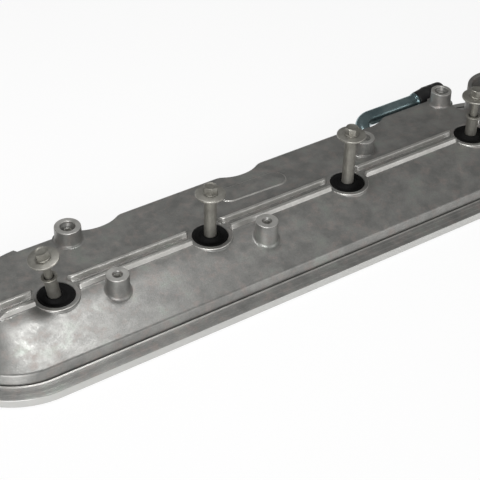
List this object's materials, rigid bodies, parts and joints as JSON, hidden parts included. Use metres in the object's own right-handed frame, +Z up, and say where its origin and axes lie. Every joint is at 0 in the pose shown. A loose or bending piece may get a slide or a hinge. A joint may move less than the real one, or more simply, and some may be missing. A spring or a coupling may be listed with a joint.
{
  "type": "engine valve cover",
  "caption": "Cast aluminium engine valve cover with sealed bolts in wells, screw bosses, a breather tube and an open filler neck.",
  "frame": {"origin": "in the plane of the rail's underside, below the middle of the part's box", "axes": "+X along the row of wells towards the filler neck, +Y towards the breather tube, +Z up out of the engine"},
  "size_m": [0.5012, 0.1294, 0.0698],
  "materials": {
    "casting": "as cast, tumbled",
    "gasket": "matte",
    "sheet": "stamped sheet",
    "rivet": "plain",
    "grommet": "matte",
    "sleeve": "grey plated",
    "washer": "grey plated",
    "bolt": "grey plated",
    "tube": "bright plated with a blue tint",
    "connector": "smooth"
  },
  "bodies": {
    "cover": {"cover_casting": "casting", "rail_gasket": "gasket", "baffle_plate": "sheet", "baffle_rivets": "rivet", "breather_tube": "tube", "tube_connector": "connector", "grommet_1": "grommet", "grommet_2": "grommet", "grommet_3": "grommet", "grommet_4": "grommet"},
    "sleeve_1": {"sleeve_1": "sleeve"},
    "washer_1": {"washer_1": "washer"},
    "bolt_1": {"bolt_1": "bolt"},
    "sleeve_2": {"sleeve_2": "sleeve"},
    "washer_2": {"washer_2": "washer"},
    "bolt_2": {"bolt_2": "bolt"},
    "sleeve_3": {"sleeve_3": "sleeve"},
    "washer_3": {"washer_3": "washer"},
    "bolt_3": {"bolt_3": "bolt"},
    "sleeve_4": {"sleeve_4": "sleeve"},
    "washer_4": {"washer_4": "washer"},
    "bolt_4": {"bolt_4": "bolt"}
  },
  "joints": [
    {"name": "sleeve_1_slide", "type": "slide", "parent": "cover", "child": "sleeve_1", "axis": [-0.1564, 0, 0.9877], "range_m": [-0.0115, 0.023]},
    {"name": "washer_1_slide", "type": "slide", "parent": "sleeve_1", "child": "washer_1", "axis": [-0.1564, 0, 0.9877], "range_m": [-0.0142, 0.0016]},
    {"name": "bolt_1_spin", "type": "hinge", "parent": "washer_1", "child": "bolt_1", "pos_m": [-0.16764, -0.0062, 0.0179], "axis": [-0.1564, 0, 0.9877], "continuous": true},
    {"name": "sleeve_2_slide", "type": "slide", "parent": "cover", "child": "sleeve_2", "axis": [0, 0, 1], "range_m": [-0.029, 0.007]},
    {"name": "washer_2_slide", "type": "slide", "parent": "sleeve_2", "child": "washer_2", "axis": [0, 0, 1], "range_m": [0, 0.016]},
    {"name": "bolt_2_spin", "type": "hinge", "parent": "washer_2", "child": "bolt_2", "pos_m": [-0.05588, -0.0062, 0.0179], "axis": [0, 0, 1], "continuous": true},
    {"name": "sleeve_3_slide", "type": "slide", "parent": "cover", "child": "sleeve_3", "axis": [0, 0, 1], "range_m": [-0.034, 0.002]},
    {"name": "washer_3_slide", "type": "slide", "parent": "sleeve_3", "child": "washer_3", "axis": [0, 0, 1], "range_m": [0, 0.016]},
    {"name": "bolt_3_spin", "type": "hinge", "parent": "washer_3", "child": "bolt_3", "pos_m": [0.05588, -0.0062, 0.0179], "axis": [0, 0, 1], "continuous": true},
    {"name": "sleeve_4_slide", "type": "slide", "parent": "cover", "child": "sleeve_4", "axis": [0, 0, 1], "range_m": [-0.0125, 0.0235]},
    {"name": "washer_4_slide", "type": "slide", "parent": "sleeve_4", "child": "washer_4", "axis": [0, 0, 1], "range_m": [-0.0145, 0.0015]},
    {"name": "bolt_4_spin", "type": "hinge", "parent": "washer_4", "child": "bolt_4", "pos_m": [0.16764, -0.0062, 0.0179], "axis": [0, 0, 1], "continuous": true}
  ]
}
